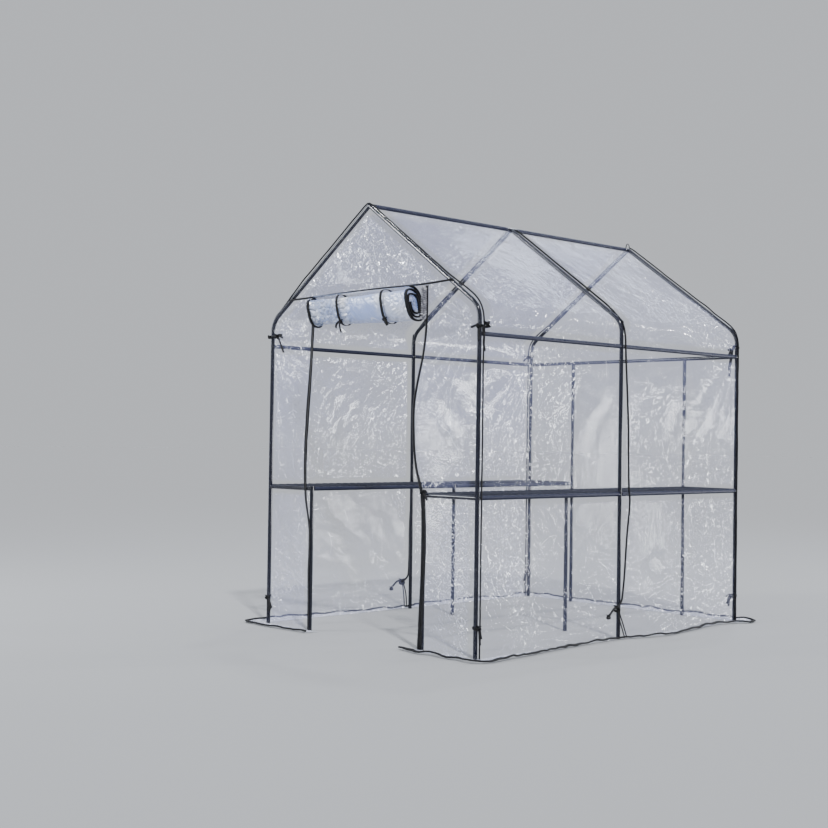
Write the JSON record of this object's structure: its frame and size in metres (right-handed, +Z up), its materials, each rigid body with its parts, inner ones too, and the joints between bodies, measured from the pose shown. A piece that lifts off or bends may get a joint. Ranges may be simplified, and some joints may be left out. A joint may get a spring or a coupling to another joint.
{
  "type": "walk-in film greenhouse",
  "caption": "Walk-in garden greenhouse with a gabled tube frame, wire shelves along both sides, a clear film cover and a rolled-up door in the front gable.",
  "frame": {"origin": "on the ground, in the middle of the floor", "axes": "+X to the right seen from the door end, +Y from the door gable to the back gable, +Z up"},
  "size_m": [1.5596, 2.0596, 1.9549],
  "materials": {
    "frame_tube": "dark grey powder coat, semi-gloss",
    "shelf_wire": "black powder coat, satin",
    "foot_plastic": "moulded black plastic",
    "clear_film": "clear soft film, glossy and creased",
    "black_binding": "black woven binding tape",
    "tie_tape": "black woven tape",
    "rope_cord": "black braided cord"
  },
  "bodies": {
    "root": {"back_crossbar": "frame_tube", "back_film": "clear_film", "back_gable_piping": "black_binding", "back_left_post": "frame_tube", "back_left_rafter": "frame_tube", "back_right_post": "frame_tube", "back_right_rafter": "frame_tube", "corner_ties": "tie_tape", "door_head_piping": "black_binding", "door_roll": "clear_film", "door_zip_tapes": "black_binding", "foot_plugs": "foot_plastic", "front_gable_film": "clear_film", "front_gable_piping": "black_binding", "front_left_film": "clear_film", "front_left_post": "frame_tube", "front_left_rafter": "frame_tube", "front_right_film": "clear_film", "front_right_post": "frame_tube", "front_right_rafter": "frame_tube", "ground_flaps": "clear_film", "hem_bindings": "black_binding", "left_eave_film": "clear_film", "left_purlins": "frame_tube", "left_roof_film": "clear_film", "left_shelf_crossbars": "frame_tube", "left_shelf_grids": "shelf_wire", "left_shelf_posts": "frame_tube", "left_shelf_rails": "frame_tube", "left_wall_film": "clear_film", "middle_left_post": "frame_tube", "middle_left_rafter": "frame_tube", "middle_right_post": "frame_tube", "middle_right_rafter": "frame_tube", "ridge_joints": "frame_tube", "ridge_tubes": "frame_tube", "right_eave_film": "clear_film", "right_purlins": "frame_tube", "right_roof_film": "clear_film", "right_shelf_crossbars": "frame_tube", "right_shelf_grids": "shelf_wire", "right_shelf_posts": "frame_tube", "right_shelf_rails": "frame_tube", "right_wall_film": "clear_film", "roll_ties": "tie_tape", "storm_rope": "rope_cord"}
  },
  "joints": []
}
